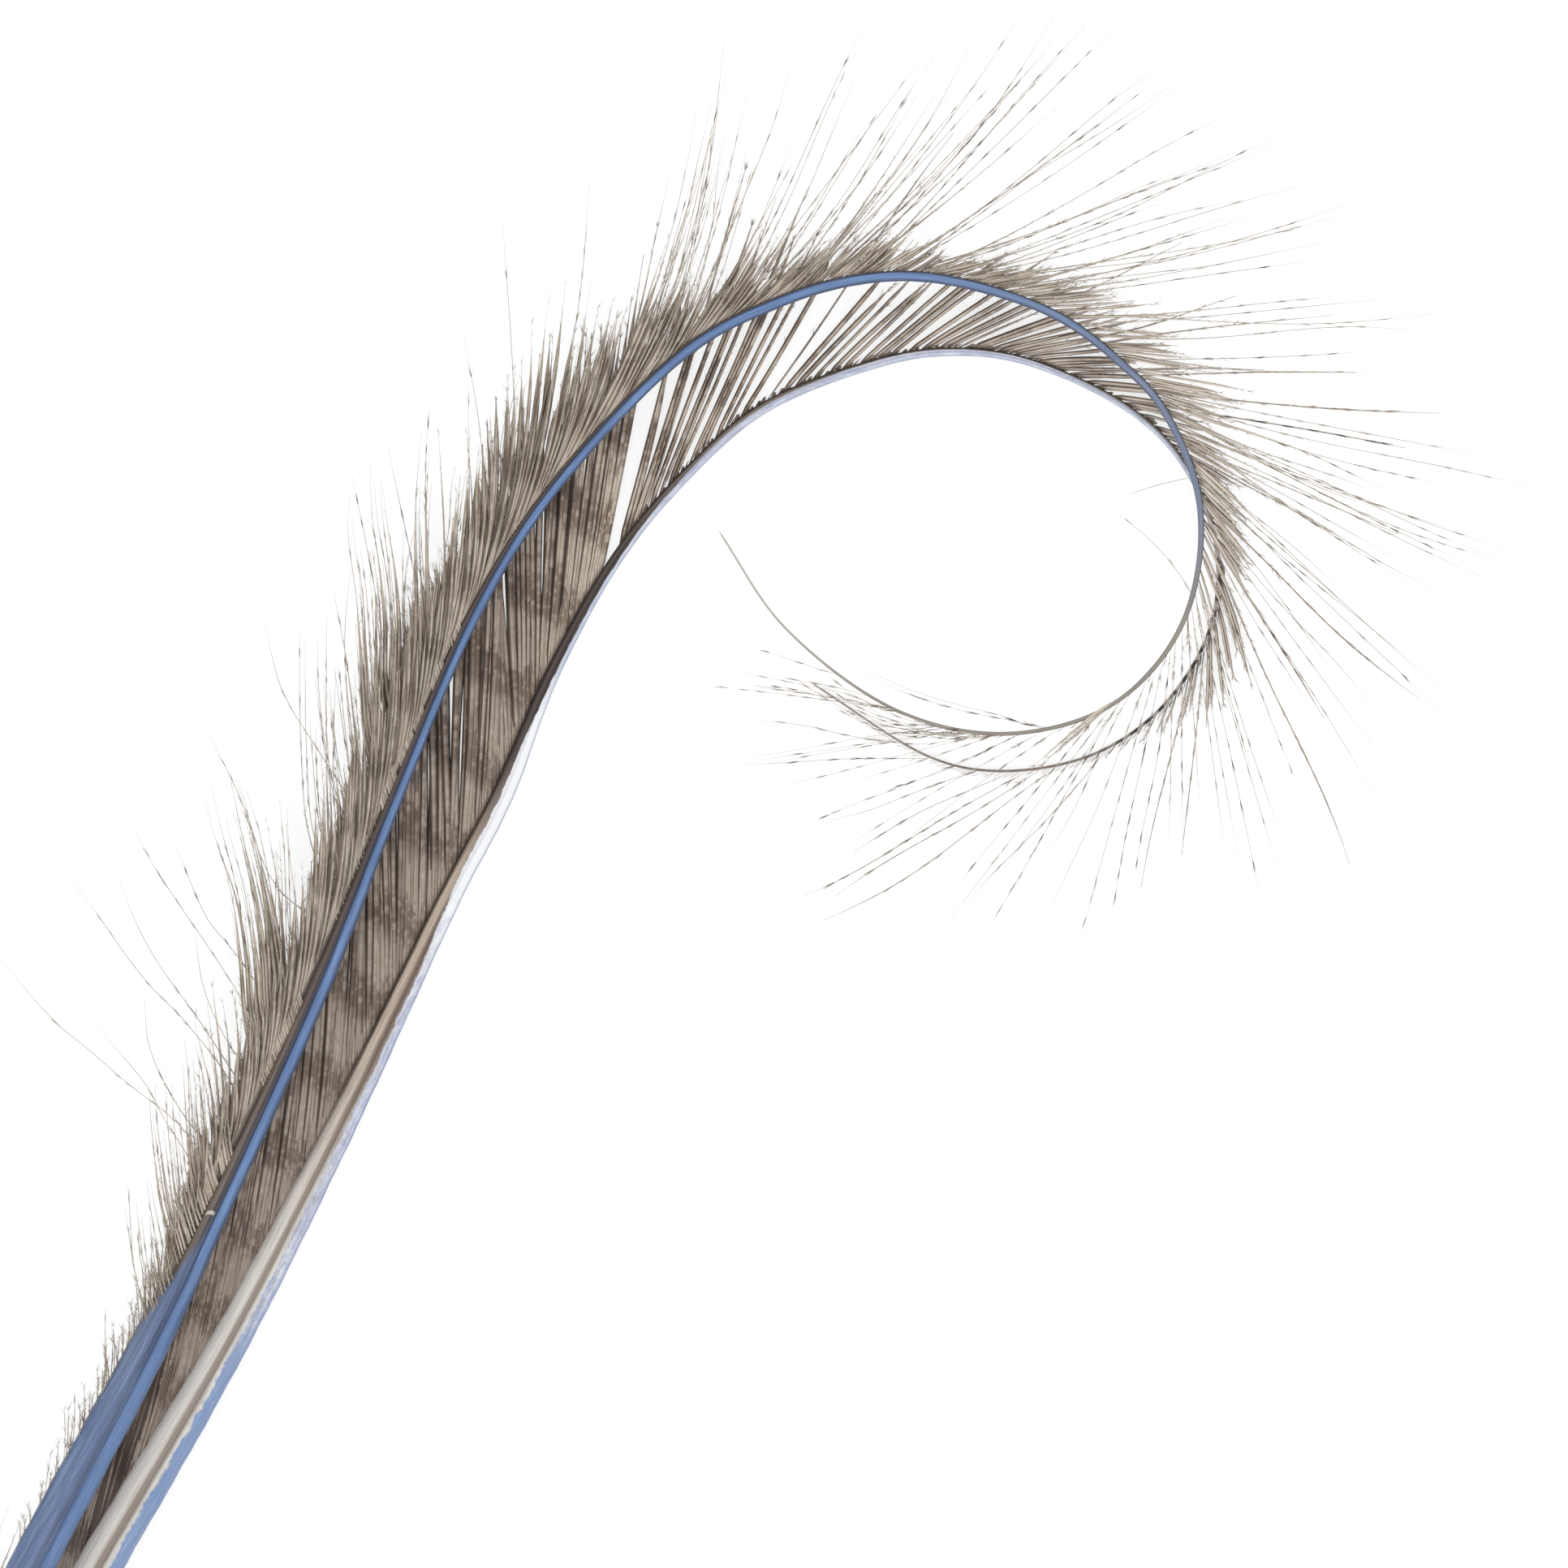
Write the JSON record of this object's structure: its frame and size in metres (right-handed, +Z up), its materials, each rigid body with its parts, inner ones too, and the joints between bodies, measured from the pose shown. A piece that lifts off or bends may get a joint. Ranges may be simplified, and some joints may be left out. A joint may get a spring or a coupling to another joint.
{
  "type": "burnt pheasant feather mount",
  "caption": "Curled pheasant tail feathers with burnt, thread-like barbs, laid one over the other and tied with thread at the quills.",
  "frame": {"origin": "middle of the bounding box in plan, on the surface that the feathers lie on", "axes": "+Z up from the surface, across the plane that the feathers curl in; +Y from the tied quills towards the crest of the curl; +X towards the side that the tips curl round"},
  "size_m": [0.1438, 0.1638, 0.017],
  "materials": {
    "front_feather_keratin": "satin horn-like quill, dry matt barbs",
    "back_feather_keratin": "satin horn-like quill, dry matt barbs",
    "binding_thread_cotton": "matt waxed thread"
  },
  "bodies": {
    "root": {"front_feather": "front_feather_keratin", "back_feather": "back_feather_keratin", "binding_thread": "binding_thread_cotton"}
  },
  "joints": []
}
